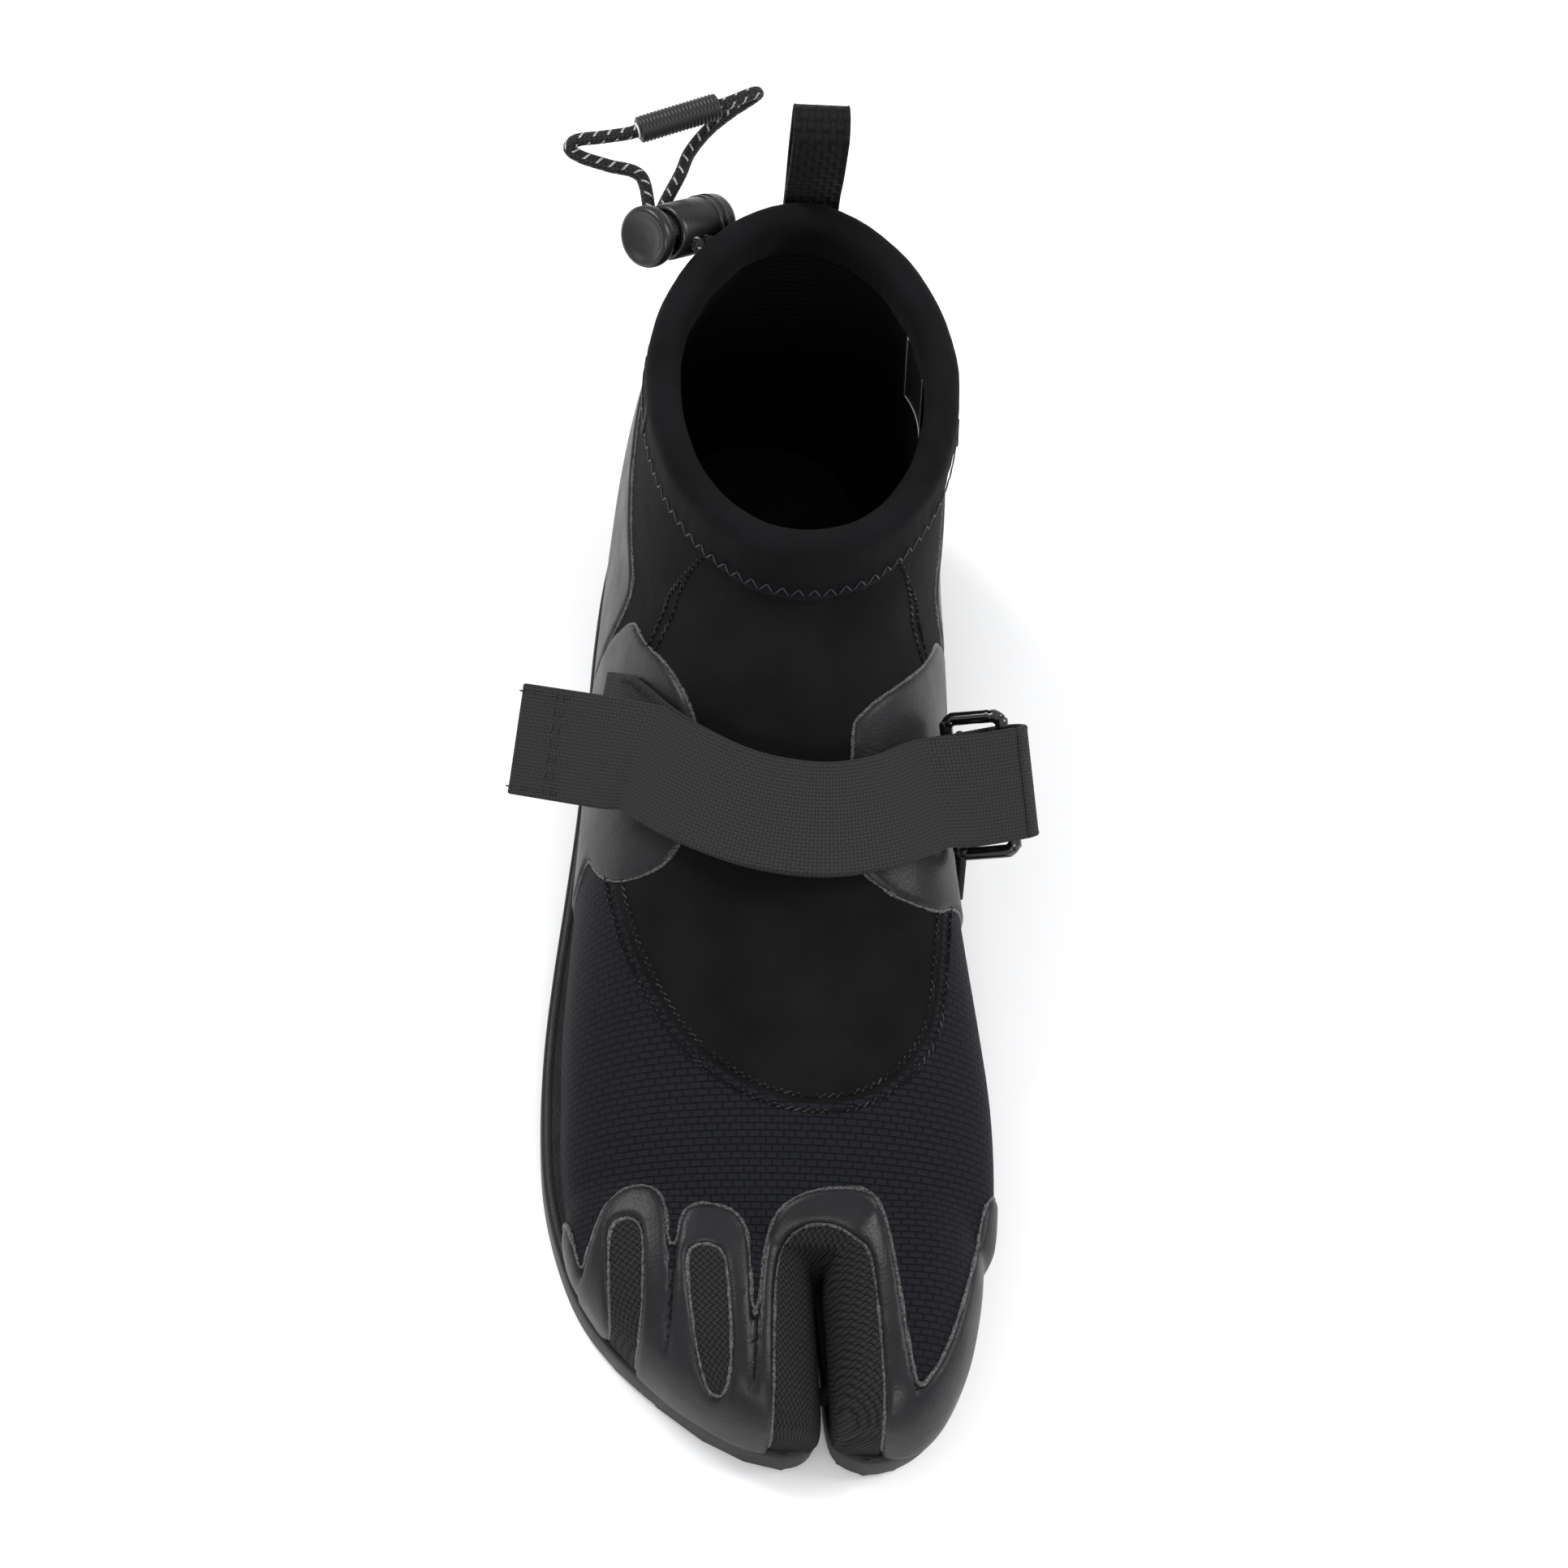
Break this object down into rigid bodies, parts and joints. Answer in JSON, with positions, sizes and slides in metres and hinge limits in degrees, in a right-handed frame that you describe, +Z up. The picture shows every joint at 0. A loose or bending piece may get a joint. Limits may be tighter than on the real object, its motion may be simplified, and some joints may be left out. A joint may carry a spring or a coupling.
{
  "type": "split-toe water-sports boot",
  "caption": "Soft split-toe boot for the right foot, with moulded toe overlays, instep strap through a ring, drawcord collar with cord lock, and heel pull tab.",
  "frame": {"origin": "on the ground under the middle of the sole, on the tread", "axes": "+Z up, +Y towards the heel, the toes towards -Y, +X towards the big toe's side"},
  "size_m": [0.1186, 0.2934, 0.1348],
  "materials": {
    "outsole_rubber": "moulded, matt",
    "footbed_foam": "cloth over foam",
    "neoprene": "fine jersey over foam rubber",
    "mesh_cloth": "textured mesh",
    "overlay_rubber": "moulded, half gloss",
    "webbing": "woven",
    "loop_pile": "hook and loop tape",
    "black_plastic": "moulded, gloss",
    "cord_cover": "braided cover with pale tracer threads",
    "spring_steel": "drawn wire",
    "label_cloth": "smooth tape, blank"
  },
  "bodies": {
    "boot": {"outsole": "outsole_rubber", "insole_footbed": "footbed_foam", "sock_bottom": "neoprene", "instep_panel": "neoprene", "forefoot_panel": "mesh_cloth", "lateral_quarter": "neoprene", "medial_quarter": "neoprene", "collar_hem_front": "neoprene", "collar_hem_rear": "neoprene", "collar_drawcord": "cord_cover", "toe_overlay": "overlay_rubber", "outer_toe_insert": "mesh_cloth", "middle_toe_insert": "mesh_cloth", "split_toe_insert": "mesh_cloth", "lateral_strap_anchor": "overlay_rubber", "medial_strap_anchor": "overlay_rubber", "heel_counter": "overlay_rubber", "instep_strap": "webbing", "loop_patch": "loop_pile", "ring_keeper": "webbing", "pull_tab": "webbing", "cord_stub_front": "cord_cover", "cord_stub_rear": "cord_cover", "care_label": "label_cloth"},
    "strap_flap": {"strap_flap": "webbing", "strap_end_tab": "webbing", "hook_patch": "loop_pile"},
    "strap_ring": {"strap_ring": "black_plastic"},
    "cord_lock": {"cord_lock_barrel": "black_plastic", "cord_lock_spring": "spring_steel", "cord_loop_left": "cord_cover", "cord_loop_right": "cord_cover", "cord_sleeve": "black_plastic"},
    "lock_button": {"cord_lock_button": "black_plastic"}
  },
  "joints": [
    {"name": "flap_hinge", "type": "hinge", "parent": "boot", "child": "strap_flap", "pos_m": [0.05172, 0.00711, 0.06142], "axis": [-0.1554, 0.8033, 0.575], "range_deg": [0, 120]},
    {"name": "ring_hinge", "type": "hinge", "parent": "boot", "child": "strap_ring", "pos_m": [0.03732, 0.01022, 0.05319], "axis": [-0.1554, 0.8033, 0.575], "range_deg": [-6, 6]},
    {"name": "lock_slide", "type": "slide", "parent": "boot", "child": "cord_lock", "axis": [-0.7222, 0.662, -0.2006], "range_m": [0, 0.006], "stiffness_N_per_m": 200, "springref_m": -0.0005},
    {"name": "button_slide", "type": "slide", "parent": "cord_lock", "child": "lock_button", "axis": [0.6614, 0.576, -0.4804], "range_m": [0, 0.0035], "stiffness_N_per_m": 800, "springref_m": -0.001, "deforming": ["cord_lock_spring"]}
  ]
}
